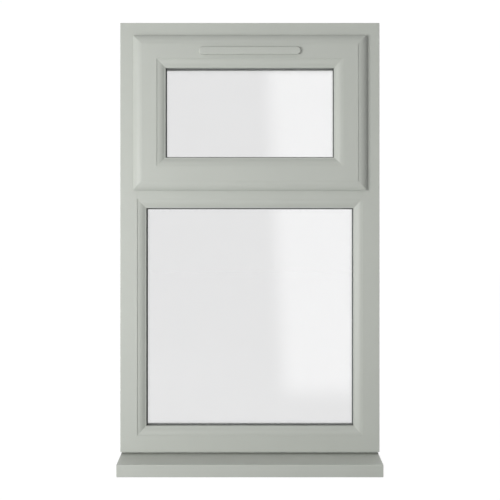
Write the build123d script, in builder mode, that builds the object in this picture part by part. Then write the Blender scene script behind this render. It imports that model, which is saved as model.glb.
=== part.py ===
from build123d import *
import os

# uPVC casement window: a top-hung fanlight over a fixed light, standing on a projecting sill.
# X runs to the right seen from outdoors, -Y points outdoors and +Z up, in millimetres.
# The origin lies on the sill's underside, mid width, below the outdoor face of the outer frame.

os.makedirs("parts", exist_ok=True)

# Outer frame and transom
frame_width = 610
frame_height = 1010
frame_depth = 70
frame_flat = 40
transom_flat = 29.5
fixed_sight_height = 514.5
moulding_width = 20.3
clip_groove_inset = 20
clip_groove_width = 7
clip_groove_depth = 4

# Sash of the fanlight
sash_depth = 70
sash_proud = 18
sash_overlap = 9
sash_clearance = 2.5
sash_edge_moulding = 21
sash_flat = 35.6
sash_moulding = 20
sash_edge_land = 3.7
seal_thickness = 3
seal_width = 6
seal_inset = 2

# Moulding and rebate shared by the frame, the transom and the sash
quirk = 1.5
lip_depth = 8.6
lip_land = 3
lip_fall = 0.8
flange_back = 18
rebate_height = 14.5
arris = 1.5

# Sealed glass units, their gaskets and the snap-in beads
gasket_thickness = 2
gasket_width = 9
gasket_show = 2.5
bead_gasket_show = 0.5
gasket_bevel = 1.5
pane_thickness = 4
pane_cavity = 20
pane_edge_gap = 5
spacer_width = 10
bead_nose = 1
bead_toe = 3

# Sill
sill_height = 40
sill_projection = 80
sill_nose = 28.5
sill_side_inset = 2
sill_cap = 3
sill_seat_inset = 14
sill_seat_step = 4
sill_nose_radius = 1.5
drip_inset = 10
drip_width = 6
drip_depth = 4

# Trickle vent through the sash's top rail
canopy_length = 237.5
canopy_height = 18.5
canopy_thickness = 7
canopy_edge = 2.5
canopy_wall = 3
canopy_slot_setback = 16
canopy_slot_depth = 6
vent_length = 262
vent_height = 22
vent_thickness = 12
vent_edge = 3
slider_length = 48
slider_height = 9
slider_thickness = 5
slider_edge = 1.5

# Lever handle on the indoor face of the sash's bottom rail
handle_base_length = 74
handle_base_height = 26
handle_base_thickness = 10
handle_base_edge = 2
handle_neck_radius = 8.5
handle_neck_length = 16
lever_reach = 112
lever_root_radius = 11
lever_tip_radius = 7.5
lever_thickness = 13
lever_front_edge = 4
lever_back_edge = 2

# Friction stays and lock, in the gap between the sash's edge and the frame's rebate
hardware_line = 33
groove_width = 16
groove_depth = 3
stay_width = 18
stay_top_gap = 6
stay_end_gap = 46
stay_track_thickness = 3.5
stay_bar_setback = 50
stay_bar_thickness = 2.5
stay_arm_width = 13
stay_arm_thickness = 2.5
stay_slider_inset = 50
stay_rivet_inset = 30
stay_rivet_radius = 4
lock_strip_length = 320
lock_strip_width = 15.6
cam_spacing = 240
cam_radius = 4
cam_length = 9
cam_play = 0.3
keep_length = 42
keep_width = 24
keep_plate = 2.5
keep_wall = 4
keep_height = 12

# Places worked out from the sizes above
frame_bottom = sill_height
frame_top = frame_bottom + frame_height
frame_lip = frame_flat + moulding_width
frame_floor = frame_lip - rebate_height
transom_width = transom_flat + 2 * moulding_width
transom_bottom = frame_bottom + frame_lip + fixed_sight_height
transom_top = transom_bottom + transom_width
transom_z = (transom_bottom + transom_top) / 2
transom_floor_width = transom_width - 2 * rebate_height
transom_end = frame_width / 2 - frame_flat
sash_inset = frame_flat - sash_overlap
sash_width = frame_width - 2 * sash_inset
sash_bottom = transom_top - moulding_width - sash_overlap
sash_top = frame_top - sash_inset
sash_lip = sash_edge_moulding + sash_flat + sash_moulding
sash_floor = sash_lip - rebate_height
sash_body_edge = sash_overlap + moulding_width + sash_clearance
sash_flange = sash_proud - seal_thickness
sash_back = sash_depth - sash_proud
hardware_gap = rebate_height + sash_clearance
stay_start = sash_top - sash_body_edge - stay_top_gap
stay_track_length = stay_start - sash_bottom - sash_body_edge - stay_end_gap
stay_bar_length = stay_track_length - stay_bar_setback
stay_arm_length = stay_bar_length - stay_slider_inset - stay_rivet_inset
unit_thickness = 2 * pane_thickness + pane_cavity
bead_front = flange_back + gasket_thickness + unit_thickness + gasket_thickness
sill_length = frame_width - 2 * (sill_side_inset + sill_cap)


def keep(piece, name):
    """Label a finished piece and write it under its name."""
    piece.part.label = name
    export_step(piece.part, f"parts/{name}.step")


def outdoor_view(y, z):
    """Plane across the window at depth y and height z that faces outdoors."""
    return Plane((0, y, z), x_dir=(1, 0, 0), z_dir=(0, -1, 0))


def indoor_view(y, z):
    """Plane across the window at depth y and height z that faces indoors."""
    return Plane((0, y, z), x_dir=(-1, 0, 0), z_dir=(0, 1, 0))


def sides(width, bottom, top, depth):
    """Start plane and length of the four bars round a rectangle, x inwards and y indoors."""
    half = width / 2
    height = top - bottom
    return {
        "left": (Plane((-half, depth, bottom), x_dir=(1, 0, 0), z_dir=(0, 0, 1)), height),
        "top": (Plane((-half, depth, top), x_dir=(0, 0, -1), z_dir=(1, 0, 0)), width),
        "right": (Plane((half, depth, top), x_dir=(-1, 0, 0), z_dir=(0, 0, -1)), height),
        "bottom": (Plane((half, depth, bottom), x_dir=(0, 0, 1), z_dir=(-1, 0, 0)), width),
    }


def mitred_bar(section, start, length):
    """Bar of one section, cut at 45 degrees where it meets its two neighbours."""
    finish = start.origin + start.z_dir * length
    with BuildPart() as bar:
        with BuildSketch(start):
            add(section)
        extrude(amount=length)
        split(bisect_by=Plane(start.origin, z_dir=start.z_dir - start.x_dir), keep=Keep.TOP)
        split(bisect_by=Plane(finish, z_dir=-start.z_dir - start.x_dir), keep=Keep.TOP)
    return bar


def mitred_ring(section, width, bottom, top, depth):
    """Closed ring of four bars of one section round a rectangle."""
    with BuildPart() as ring:
        for start, length in sides(width, bottom, top, depth).values():
            add(mitred_bar(section, start, length).part)
    return ring


def frame_section():
    """Outer frame: flat, quirk, ovolo and lip outdoors, glazing rebate behind the lip."""
    with BuildSketch() as section:
        with BuildLine():
            face = Polyline((0, frame_depth), (0, 0), (frame_flat, 0), (frame_flat, quirk))
            ovolo = TangentArc(face @ 1, (frame_lip - lip_land, lip_depth - lip_fall), tangent=(1, 0))
            Polyline(
                ovolo @ 1,
                (frame_lip, lip_depth),
                (frame_lip, flange_back),
                (frame_floor, flange_back),
                (frame_floor, frame_depth),
                face @ 0,
            )
        make_face()
        fillet(section.vertices().group_by(Axis.X)[0], arris)
        fillet(section.vertices().group_by(Axis.Y)[-1].sort_by(Axis.X)[-1], arris)
        with Locations(
            (clip_groove_depth / 2, clip_groove_inset),
            (clip_groove_depth / 2, frame_depth - clip_groove_inset),
        ):
            Rectangle(clip_groove_depth, clip_groove_width, mode=Mode.SUBTRACT)
    return section.sketch


def transom_flange_section():
    """Outdoor part of the transom: the frame's flat, ovolo and lip on both edges."""
    with BuildSketch() as section:
        with BuildLine():
            face = Polyline((0, flange_back), (0, 0), (transom_flat / 2, 0), (transom_flat / 2, quirk))
            ovolo = TangentArc(face @ 1, (transom_width / 2 - lip_land, lip_depth - lip_fall), tangent=(1, 0))
            Polyline(
                ovolo @ 1,
                (transom_width / 2, lip_depth),
                (transom_width / 2, flange_back),
                face @ 0,
            )
        make_face()
        mirror(about=Plane.YZ)
    return section.sketch


def sash_section():
    """Sash: overlapping flange with an outer ovolo, flat, inner ovolo, rebate and grooved edge."""
    flat_end = sash_edge_moulding + sash_flat
    groove_start = hardware_line + sash_proud - groove_width / 2
    groove_end = groove_start + groove_width
    with BuildSketch() as section:
        with BuildLine():
            face = Polyline((sash_edge_moulding, quirk), (sash_edge_moulding, 0), (flat_end, 0), (flat_end, quirk))
            edge = TangentArc(face @ 0, (0, sash_flange - sash_edge_land), tangent=(-1, 0))
            ovolo = TangentArc(face @ 1, (sash_lip - lip_land, lip_depth - lip_fall), tangent=(1, 0))
            Polyline(
                ovolo @ 1,
                (sash_lip, lip_depth),
                (sash_lip, flange_back),
                (sash_floor, flange_back),
                (sash_floor, sash_depth),
                (sash_body_edge, sash_depth),
                (sash_body_edge, groove_end),
                (sash_body_edge + groove_depth, groove_end),
                (sash_body_edge + groove_depth, groove_start),
                (sash_body_edge, groove_start),
                (sash_body_edge, sash_flange),
                (0, sash_flange),
                edge @ 1,
            )
        make_face()
        fillet(section.vertices().group_by(Axis.Y)[-1], arris)
    return section.sketch


def bead_section(depth):
    """Snap-in bead: flat against the rebate floor, rounded towards the room."""
    with BuildSketch() as section:
        with BuildLine():
            nose = Polyline((0, depth), (0, 0), (rebate_height, 0), (rebate_height, bead_nose))
            curve = TangentArc(nose @ 1, (bead_toe, depth), tangent=(0, 1))
            Line(curve @ 1, nose @ 0)
        make_face()
    return section.sketch


def gasket_section(glass_side, free_side):
    """Gasket that widens towards the glass, between its two faces given by depth."""
    with BuildSketch() as section:
        with BuildLine():
            Polyline(
                (0, free_side),
                (gasket_width - gasket_bevel, free_side),
                (gasket_width, glass_side),
                (0, glass_side),
                close=True,
            )
        make_face()
    return section.sketch


def band_section(width, thickness):
    """Plain rectangular section that starts at the outer edge and the outdoor face."""
    with BuildSketch() as section:
        Rectangle(width, thickness, align=(Align.MIN, Align.MIN))
    return section.sketch


def sill_section():
    """Sill: raised seat set back under the frame, sloping top, upright nose and a drip groove below."""
    nose_front = -sill_projection
    with BuildSketch() as section:
        with BuildLine():
            Polyline(
                (frame_depth, 0),
                (nose_front, 0),
                (nose_front, sill_nose),
                (sill_seat_inset, sill_height - sill_seat_step),
                (sill_seat_inset, sill_height),
                (frame_depth, sill_height),
                close=True,
            )
        make_face()
        fillet(section.vertices().group_by(Axis.X)[0], sill_nose_radius)
        with Locations((nose_front + drip_inset + drip_width / 2, drip_depth / 2)):
            Rectangle(drip_width, drip_depth, mode=Mode.SUBTRACT)
    return section.sketch


def glaze(name, width, bottom, top, face, depth):
    """Gaskets, sealed unit and four beads of one light, in its rebate behind a face at depth y."""
    outer_outset = rebate_height - gasket_width + gasket_show
    outer_area = (width - 2 * outer_outset, bottom + outer_outset, top - outer_outset)
    inner_outset = rebate_height - gasket_width + bead_gasket_show
    inner_area = (width - 2 * inner_outset, bottom + inner_outset, top - inner_outset)
    pane_area = (width - 2 * pane_edge_gap, bottom + pane_edge_gap, top - pane_edge_gap)
    outer_gasket_y = face + flange_back
    outer_pane_y = outer_gasket_y + gasket_thickness
    spacer_y = outer_pane_y + pane_thickness
    inner_pane_y = spacer_y + pane_cavity
    inner_gasket_y = inner_pane_y + pane_thickness

    outer_gasket = mitred_ring(gasket_section(gasket_thickness, 0), *outer_area, outer_gasket_y)
    keep(outer_gasket, f"{name}_outer_gasket")
    inner_gasket = mitred_ring(gasket_section(0, gasket_thickness), *inner_area, inner_gasket_y)
    keep(inner_gasket, f"{name}_inner_gasket")

    pane_width, pane_bottom, pane_top = pane_area
    for layer, y in (("outer", outer_pane_y), ("inner", inner_pane_y)):
        with BuildPart() as pane:
            with BuildSketch(indoor_view(y, (pane_bottom + pane_top) / 2)):
                Rectangle(pane_width, pane_top - pane_bottom)
            extrude(amount=pane_thickness)
        keep(pane, f"{name}_{layer}_pane")

    spacer = mitred_ring(band_section(spacer_width, pane_cavity), *pane_area, spacer_y)
    keep(spacer, f"{name}_spacer_bar")

    section = bead_section(depth - bead_front)
    for side, (start, length) in sides(width, bottom, top, face + bead_front).items():
        bead = mitred_bar(section, start, length)
        keep(bead, f"{name}_{side}_bead")


# Notch in the lip of each jamb, which takes the pointed end of the transom
with BuildPart() as transom_notch:
    with BuildSketch(outdoor_view(0, transom_z)):
        with BuildLine():
            Polyline(
                (transom_end, transom_flat / 2),
                (transom_end, -transom_flat / 2),
                (transom_end - moulding_width, -transom_width / 2),
                (transom_end - moulding_width, transom_width / 2),
                close=True,
            )
        make_face()
        mirror(about=Plane.YZ)
    extrude(amount=-flange_back)

# Outer frame of four mitred and welded bars
frame_names = {
    "left": "frame_left_jamb",
    "top": "frame_head",
    "right": "frame_right_jamb",
    "bottom": "frame_bottom_rail",
}
for side, (start, length) in sides(frame_width, frame_bottom, frame_top, 0).items():
    with BuildPart() as frame_bar:
        add(mitred_bar(frame_section(), start, length).part)
        add(transom_notch.part, mode=Mode.SUBTRACT)
    keep(frame_bar, frame_names[side])

# Transom between the two lights: a moulded flange with pointed ends, and a web between the rebates
with BuildPart() as transom:
    with BuildSketch(Plane((-transom_end, 0, transom_z), x_dir=(0, 0, -1), z_dir=(1, 0, 0))):
        add(transom_flange_section())
    extrude(amount=2 * transom_end)
    for end in (-1, 1):
        for edge in (-1, 1):
            corner = (end * transom_end, 0, transom_z + edge * transom_flat / 2)
            split(bisect_by=Plane(corner, z_dir=(-end, 0, -edge)), keep=Keep.TOP)
    with BuildSketch(indoor_view(flange_back, transom_z)):
        Rectangle(frame_width - 2 * frame_floor, transom_floor_width)
    extrude(amount=frame_depth - flange_back)
keep(transom, "transom")

# Top-hung sash of four mitred and welded bars, closed on its weather seal
sash_names = {
    "left": "sash_left_stile",
    "top": "sash_top_rail",
    "right": "sash_right_stile",
    "bottom": "sash_bottom_rail",
}
for side, (start, length) in sides(sash_width, sash_bottom, sash_top, -sash_proud).items():
    sash_bar = mitred_bar(sash_section(), start, length)
    keep(sash_bar, sash_names[side])

weather_seal = mitred_ring(
    band_section(seal_width, seal_thickness),
    sash_width - 2 * seal_inset,
    sash_bottom + seal_inset,
    sash_top - seal_inset,
    -seal_thickness,
)
keep(weather_seal, "sash_weather_seal")

# Sealed glass units with their gaskets and beads
glaze(
    "fixed_light",
    frame_width - 2 * frame_floor,
    frame_bottom + frame_floor,
    transom_bottom + rebate_height,
    0,
    frame_depth,
)
glaze(
    "sash",
    sash_width - 2 * sash_floor,
    sash_bottom + sash_floor,
    sash_top - sash_floor,
    -sash_proud,
    sash_depth,
)

# Projecting sill with a cap over each open end
with BuildPart() as sill:
    with BuildSketch(Plane.YZ.offset(-sill_length / 2)):
        add(sill_section())
    extrude(amount=sill_length)
keep(sill, "sill")

for cap_name, cap_start in (("left", -sill_length / 2 - sill_cap), ("right", sill_length / 2)):
    with BuildPart() as end_cap:
        with BuildSketch(Plane.YZ.offset(cap_start)):
            add(sill_section())
        extrude(amount=sill_cap)
    keep(end_cap, f"sill_{cap_name}_end_cap")

# Trickle vent: a slim canopy outdoors, open below, and a cover with a sliding shutter indoors
canopy_z = sash_top - sash_edge_moulding - sash_flat / 2
with BuildPart() as canopy:
    with BuildSketch(outdoor_view(-sash_proud, canopy_z)):
        SlotOverall(canopy_length, canopy_height)
    extrude(amount=canopy_thickness)
    fillet(canopy.faces().sort_by(Axis.Y)[0].edges(), canopy_edge)
    with BuildSketch(Plane((0, -sash_proud, canopy_z - canopy_height / 2))):
        Rectangle(
            canopy_length - 2 * canopy_slot_setback,
            canopy_thickness - canopy_wall,
            align=(Align.CENTER, Align.MAX),
        )
    extrude(amount=canopy_slot_depth, mode=Mode.SUBTRACT)
keep(canopy, "vent_canopy")

indoor_rail_middle = (sash_body_edge + sash_floor) / 2
vent_z = sash_top - indoor_rail_middle
with BuildPart() as vent_cover:
    with BuildSketch(indoor_view(sash_back, vent_z)):
        SlotOverall(vent_length, vent_height)
    extrude(amount=vent_thickness)
    fillet(vent_cover.faces().sort_by(Axis.Y)[-1].edges(), vent_edge)
keep(vent_cover, "vent_cover")

with BuildPart() as vent_slider:
    with BuildSketch(indoor_view(sash_back + vent_thickness, vent_z)):
        SlotOverall(slider_length, slider_height)
    extrude(amount=slider_thickness)
    chamfer(vent_slider.faces().sort_by(Axis.Y)[-1].edges(), slider_edge)
keep(vent_slider, "vent_slider")

# Lever handle in its closed position, along the bottom rail
handle_z = sash_bottom + indoor_rail_middle
neck_start = sash_back + handle_base_thickness
neck_end = neck_start + handle_neck_length
with BuildPart() as handle_base:
    with BuildSketch(indoor_view(sash_back, handle_z)):
        SlotOverall(handle_base_length, handle_base_height)
    extrude(amount=handle_base_thickness)
    chamfer(handle_base.faces().sort_by(Axis.Y)[-1].edges(), handle_base_edge)
    with BuildSketch(indoor_view(neck_start, handle_z)):
        Circle(handle_neck_radius)
    extrude(amount=handle_neck_length)
keep(handle_base, "handle_base")

with BuildPart() as handle_lever:
    with BuildSketch(indoor_view(neck_end, handle_z)):
        Circle(lever_root_radius)
        with Locations((lever_reach, 0)):
            Circle(lever_tip_radius)
        make_hull()
    extrude(amount=lever_thickness)
    fillet(handle_lever.faces().sort_by(Axis.Y)[-1].edges(), lever_front_edge)
    fillet(handle_lever.faces().sort_by(Axis.Y)[0].edges(), lever_back_edge)
keep(handle_lever, "handle_lever")

# Friction stay on each side: a track on the jamb, a bar on the sash's stile and a folded arm between
stay_pivot = stay_arm_length / 2
arm_middle = stay_slider_inset + stay_pivot
for stay_name, inward in (("left", 1), ("right", -1)):
    floor = Plane(
        (-inward * (frame_width / 2 - frame_floor), hardware_line, stay_start),
        x_dir=(0, 0, -1),
        z_dir=(inward, 0, 0),
    )
    with BuildPart() as stay:
        with BuildSketch(floor):
            with Locations((stay_track_length / 2, 0)):
                Rectangle(stay_track_length, stay_width)
        extrude(amount=stay_track_thickness)
        with BuildSketch(floor.offset(stay_track_thickness)):
            with Locations((arm_middle, 0)):
                SlotCenterToCenter(stay_arm_length, stay_arm_width)
        extrude(amount=stay_arm_thickness)
        with BuildSketch(floor.offset(stay_track_thickness + stay_arm_thickness)):
            with Locations((arm_middle + stay_pivot, 0)):
                Circle(stay_rivet_radius)
        extrude(amount=hardware_gap - stay_track_thickness - stay_arm_thickness)
        with BuildSketch(floor.offset(hardware_gap - stay_bar_thickness)):
            with Locations((stay_bar_length / 2, 0)):
                Rectangle(stay_bar_length, stay_width)
        extrude(amount=stay_bar_thickness)
    keep(stay, f"friction_stay_{stay_name}")

# Lock strip in the groove of the sash's bottom edge, with two cams behind keeps on the transom
sash_edge_z = sash_bottom + sash_body_edge
with BuildPart() as lock_strip:
    with BuildSketch(Plane.XY.offset(sash_edge_z)):
        with Locations((0, hardware_line)):
            Rectangle(lock_strip_length, lock_strip_width)
    extrude(amount=groove_depth)
    with BuildSketch(Plane.XY.offset(sash_edge_z)):
        with Locations((-cam_spacing / 2, hardware_line), (cam_spacing / 2, hardware_line)):
            Circle(cam_radius)
    extrude(amount=-cam_length)
keep(lock_strip, "lock_strip")

keep_floor = transom_top - rebate_height
wall_y = hardware_line - cam_radius - cam_play - keep_wall / 2
for keep_name, keep_x in (("left", -cam_spacing / 2), ("right", cam_spacing / 2)):
    with BuildPart() as lock_keep:
        with BuildSketch(Plane.XY.offset(keep_floor)):
            with Locations((keep_x, hardware_line)):
                Rectangle(keep_length, keep_width)
        extrude(amount=keep_plate)
        with BuildSketch(Plane.XY.offset(keep_floor)):
            with Locations((keep_x, wall_y)):
                Rectangle(keep_length, keep_wall)
        extrude(amount=keep_height)
    keep(lock_keep, f"lock_keep_{keep_name}")
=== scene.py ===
import math

import bmesh
import bpy
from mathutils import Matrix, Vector


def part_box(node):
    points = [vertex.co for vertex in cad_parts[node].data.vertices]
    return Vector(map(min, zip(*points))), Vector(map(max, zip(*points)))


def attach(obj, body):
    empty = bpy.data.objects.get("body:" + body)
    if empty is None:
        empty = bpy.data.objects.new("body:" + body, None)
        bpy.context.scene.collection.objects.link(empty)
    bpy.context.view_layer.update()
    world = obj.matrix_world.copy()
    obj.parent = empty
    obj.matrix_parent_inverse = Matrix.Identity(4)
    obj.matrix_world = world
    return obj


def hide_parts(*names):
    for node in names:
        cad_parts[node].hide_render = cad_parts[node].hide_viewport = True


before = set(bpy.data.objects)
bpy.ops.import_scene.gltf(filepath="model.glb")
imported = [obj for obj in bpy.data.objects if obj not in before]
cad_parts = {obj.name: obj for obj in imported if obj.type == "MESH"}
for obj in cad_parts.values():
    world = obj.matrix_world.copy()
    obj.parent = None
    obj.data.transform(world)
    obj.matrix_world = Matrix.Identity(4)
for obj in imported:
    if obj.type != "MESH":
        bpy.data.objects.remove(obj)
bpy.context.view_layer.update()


# Outer frame: four bars of extruded hard PVC under a light grey satin foil, cut at 45 degrees
# and welded at the corners. Outdoors each bar has a flat, a small step, a rounded moulding and
# a sloping lip; indoors it is plain, with a rebate for the glass behind the lip.
frame_flat = 0.040
frame_depth = 0.070
moulding_width = 0.0203
step_drop = 0.0015
lip_land = 0.003
lip_fall = 0.0008
lip_depth = 0.0086
lip_nose = 0.0008
flange_back = 0.018
rebate_height = 0.0145
frame_arris = 0.0015
fine_arris = 0.0003
groove_inset = 0.020
groove_width = 0.007
groove_depth = 0.004
moulding_steps = 16
arris_steps = 4
cut_overshoot = 0.002
smooth_angle = math.radians(32)
flat_face_weight = 100
foil_grey = (0.49, 0.51, 0.47, 1)
dust_grey = (0.52, 0.51, 0.48, 1)
dust_slope = 0.45
noise_middle = 0.5
clouds_per_metre = 7
cloud_detail = 4
grain_detail = 3
patches_per_metre = 38
patch_detail = 6
emboss_depth = 0.0001

ACROSS = Vector((1, 0, 0))
INDOORS = Vector((0, 1, 0))
UP = Vector((0, 0, 1))


def tangent_arc(start, tangent, end, steps):
    """Points of the circular arc that leaves start along tangent and reaches end."""
    start = Vector(start)
    tangent = Vector(tangent).normalized()
    chord = Vector(end) - start
    side = Vector((-tangent.y, tangent.x))
    if side.dot(chord) < 0:
        side = -side
    radius = chord.length_squared / (2 * chord.dot(side))
    sweep = 2 * math.atan2(chord.dot(side), chord.dot(tangent))
    points = []
    for step in range(steps + 1):
        angle = sweep * step / steps
        points.append(start + tangent * radius * math.sin(angle) + side * radius * (1 - math.cos(angle)))
    return points


def rounded_outline(corners):
    """Closed outline from (across, depth, radius) corners, each one rounded where it has a radius."""
    points = []
    for index, (across, depth, radius) in enumerate(corners):
        corner = Vector((across, depth))
        if radius == 0:
            points.append(corner)
            continue
        before = (Vector(corners[index - 1][:2]) - corner).normalized()
        after = (Vector(corners[(index + 1) % len(corners)][:2]) - corner).normalized()
        reach = radius / math.tan(before.angle(after) / 2)
        points += tangent_arc(corner + before * reach, -before, corner + after * reach, arris_steps)
    return points


def sharp(points):
    """Corners without a radius at these points."""
    return [(point[0], point[1], 0) for point in points]


def sides_of(left, right, bottom, top, depth):
    """Start, inward direction, direction and length of the four bars round a rectangle."""
    return {
        "left": (Vector((left, depth, bottom)), ACROSS, UP, top - bottom),
        "top": (Vector((left, depth, top)), -UP, ACROSS, right - left),
        "right": (Vector((right, depth, top)), -ACROSS, -UP, top - bottom),
        "bottom": (Vector((right, depth, bottom)), UP, -ACROSS, right - left),
    }


def close_between(shape, near, far):
    """Side faces between two equal loops of vertices, and one face over each end."""
    for index in range(len(near)):
        shape.faces.new((near[index - 1], near[index], far[index], far[index - 1]))
    shape.faces.new(near)
    shape.faces.new(far)


def mitred_bar(outline, start, inward, along, length):
    """Closed bar of one outline, with both ends cut at 45 degrees."""
    bar = bmesh.new()
    near = []
    far = []
    for across, depth in outline:
        foot = start + inward * across + INDOORS * depth
        near.append(bar.verts.new(foot + along * across))
        far.append(bar.verts.new(foot + along * (length - across)))
    close_between(bar, near, far)
    return bar


def finished(name, shape, material, slot, *nodes):
    """Object of a finished shape, riding on the window in place of its CAD nodes."""
    bmesh.ops.recalc_face_normals(shape, faces=shape.faces)
    mesh = bpy.data.meshes.new(name)
    shape.to_mesh(mesh)
    shape.free()
    mesh.shade_smooth()
    mesh.set_sharp_from_angle(angle=smooth_angle)
    mesh.materials.append(material)
    piece = bpy.data.objects.new(name, mesh)
    bpy.context.scene.collection.objects.link(piece)
    level_flats = piece.modifiers.new("level_flats", "WEIGHTED_NORMAL")
    level_flats.weight = flat_face_weight
    level_flats.keep_sharp = True
    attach(piece, "root")
    if nodes:
        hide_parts(*nodes)
    return piece


def shader_group(name, inputs, outputs):
    """Empty shader node group with named sockets, and its input and output nodes."""
    group = bpy.data.node_groups.new(name, "ShaderNodeTree")
    for socket, kind in inputs:
        group.interface.new_socket(socket, in_out="INPUT", socket_type=kind)
    for socket, kind in outputs:
        group.interface.new_socket(socket, in_out="OUTPUT", socket_type=kind)
    return group, group.nodes.new("NodeGroupInput"), group.nodes.new("NodeGroupOutput")


def fine_grain_group():
    """Slow change of tone and a fine embossed grain, as on foil, rubber and cast metal."""
    group, taken, given = shader_group(
        "fine_grain",
        (
            ("Position", "NodeSocketVector"),
            ("Colour", "NodeSocketColor"),
            ("Tone Range", "NodeSocketFloat"),
            ("Grains per Metre", "NodeSocketFloat"),
            ("Roughness", "NodeSocketFloat"),
            ("Roughness Range", "NodeSocketFloat"),
        ),
        (("Colour", "NodeSocketColor"), ("Roughness", "NodeSocketFloat"), ("Height", "NodeSocketFloat")),
    )
    nodes, links = group.nodes, group.links
    clouds = nodes.new("ShaderNodeTexNoise")
    clouds.inputs["Scale"].default_value = clouds_per_metre
    clouds.inputs["Detail"].default_value = cloud_detail
    grain = nodes.new("ShaderNodeTexNoise")
    grain.inputs["Detail"].default_value = grain_detail
    tone = nodes.new("ShaderNodeMath")
    tone.operation = "SUBTRACT"
    tone.inputs[1].default_value = noise_middle
    swing = nodes.new("ShaderNodeMath")
    swing.operation = "MULTIPLY_ADD"
    swing.inputs[2].default_value = 1
    tinted = nodes.new("ShaderNodeVectorMath")
    tinted.operation = "SCALE"
    gloss = nodes.new("ShaderNodeMath")
    gloss.operation = "MULTIPLY_ADD"
    links.new(taken.outputs["Position"], clouds.inputs["Vector"])
    links.new(taken.outputs["Position"], grain.inputs["Vector"])
    links.new(taken.outputs["Grains per Metre"], grain.inputs["Scale"])
    links.new(clouds.outputs["Fac"], tone.inputs[0])
    links.new(tone.outputs[0], swing.inputs[0])
    links.new(taken.outputs["Tone Range"], swing.inputs[1])
    links.new(taken.outputs["Colour"], tinted.inputs[0])
    links.new(swing.outputs[0], tinted.inputs["Scale"])
    links.new(tone.outputs[0], gloss.inputs[0])
    links.new(taken.outputs["Roughness Range"], gloss.inputs[1])
    links.new(taken.outputs["Roughness"], gloss.inputs[2])
    links.new(tinted.outputs[0], given.inputs["Colour"])
    links.new(gloss.outputs[0], given.inputs["Roughness"])
    links.new(grain.outputs["Fac"], given.inputs["Height"])
    return group


def settled_dust_group():
    """Thin dust on faces that look up, broken up by a soft noise."""
    group, taken, given = shader_group(
        "settled_dust",
        (
            ("Position", "NodeSocketVector"),
            ("Colour", "NodeSocketColor"),
            ("Dust", "NodeSocketColor"),
            ("Amount", "NodeSocketFloat"),
        ),
        (("Colour", "NodeSocketColor"),),
    )
    nodes, links = group.nodes, group.links
    surface = nodes.new("ShaderNodeNewGeometry")
    facing = nodes.new("ShaderNodeSeparateXYZ")
    upward = nodes.new("ShaderNodeMapRange")
    upward.inputs["From Min"].default_value = dust_slope
    patches = nodes.new("ShaderNodeTexNoise")
    patches.inputs["Scale"].default_value = patches_per_metre
    patches.inputs["Detail"].default_value = patch_detail
    broken = nodes.new("ShaderNodeMath")
    broken.operation = "MULTIPLY"
    mask = nodes.new("ShaderNodeMath")
    mask.operation = "MULTIPLY"
    mixed = nodes.new("ShaderNodeMix")
    mixed.data_type = "RGBA"
    links.new(surface.outputs["Normal"], facing.inputs[0])
    links.new(facing.outputs["Z"], upward.inputs["Value"])
    links.new(taken.outputs["Position"], patches.inputs["Vector"])
    links.new(patches.outputs["Fac"], broken.inputs[0])
    links.new(upward.outputs["Result"], broken.inputs[1])
    links.new(broken.outputs[0], mask.inputs[0])
    links.new(taken.outputs["Amount"], mask.inputs[1])
    links.new(mask.outputs[0], mixed.inputs["Factor"])
    links.new(taken.outputs["Colour"], mixed.inputs["A"])
    links.new(taken.outputs["Dust"], mixed.inputs["B"])
    links.new(mixed.outputs["Result"], given.inputs["Colour"])
    return group


fine_grain = fine_grain_group()
settled_dust = settled_dust_group()


def grained_material(name, colour, roughness, spread, tone, grains, emboss, dust, metal=0.0, gloss=0.5):
    """Opaque material with the fine grain and the settled dust of this window's pieces."""
    material = bpy.data.materials.new(name)
    material.use_nodes = True
    nodes, links = material.node_tree.nodes, material.node_tree.links
    shader = nodes["Principled BSDF"]
    shader.inputs["Metallic"].default_value = metal
    shader.inputs["Specular IOR Level"].default_value = gloss
    place = nodes.new("ShaderNodeTexCoord")
    grain = nodes.new("ShaderNodeGroup")
    grain.node_tree = fine_grain
    grain.inputs["Colour"].default_value = colour
    grain.inputs["Tone Range"].default_value = tone
    grain.inputs["Grains per Metre"].default_value = grains
    grain.inputs["Roughness"].default_value = roughness
    grain.inputs["Roughness Range"].default_value = spread
    film = nodes.new("ShaderNodeGroup")
    film.node_tree = settled_dust
    film.inputs["Dust"].default_value = dust_grey
    film.inputs["Amount"].default_value = dust
    bump = nodes.new("ShaderNodeBump")
    bump.inputs["Strength"].default_value = emboss
    bump.inputs["Distance"].default_value = emboss_depth
    links.new(place.outputs["Object"], grain.inputs["Position"])
    links.new(place.outputs["Object"], film.inputs["Position"])
    links.new(grain.outputs["Colour"], film.inputs["Colour"])
    links.new(film.outputs["Colour"], shader.inputs["Base Color"])
    links.new(grain.outputs["Roughness"], shader.inputs["Roughness"])
    links.new(grain.outputs["Height"], bump.inputs["Height"])
    links.new(bump.outputs["Normal"], shader.inputs["Normal"])
    return material


foil = grained_material(
    "light_grey_foil",
    foil_grey,
    roughness=0.42,
    spread=0.08,
    tone=0.05,
    grains=1500,
    emboss=0.25,
    dust=0.2,
    gloss=0.38,
)


def moulding(flat_end, lip):
    """Corners from the edge of a flat to the rebate: step, rounded moulding and sloping lip."""
    top = (flat_end, step_drop)
    curve = tangent_arc(top, (1, 0), (lip - lip_land, lip_depth - lip_fall), moulding_steps)
    return [
        (flat_end, 0, fine_arris),
        *sharp(curve),
        (lip, lip_depth, lip_nose),
        (lip, flange_back, fine_arris),
        (lip - rebate_height, flange_back, 0),
    ]


def groove(middle):
    """Corners of a clip groove in the outer side of the frame, from indoors to outdoors."""
    rear = middle + groove_width / 2
    front = middle - groove_width / 2
    return sharp([(0, rear), (groove_depth, rear), (groove_depth, front), (0, front)])


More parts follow.
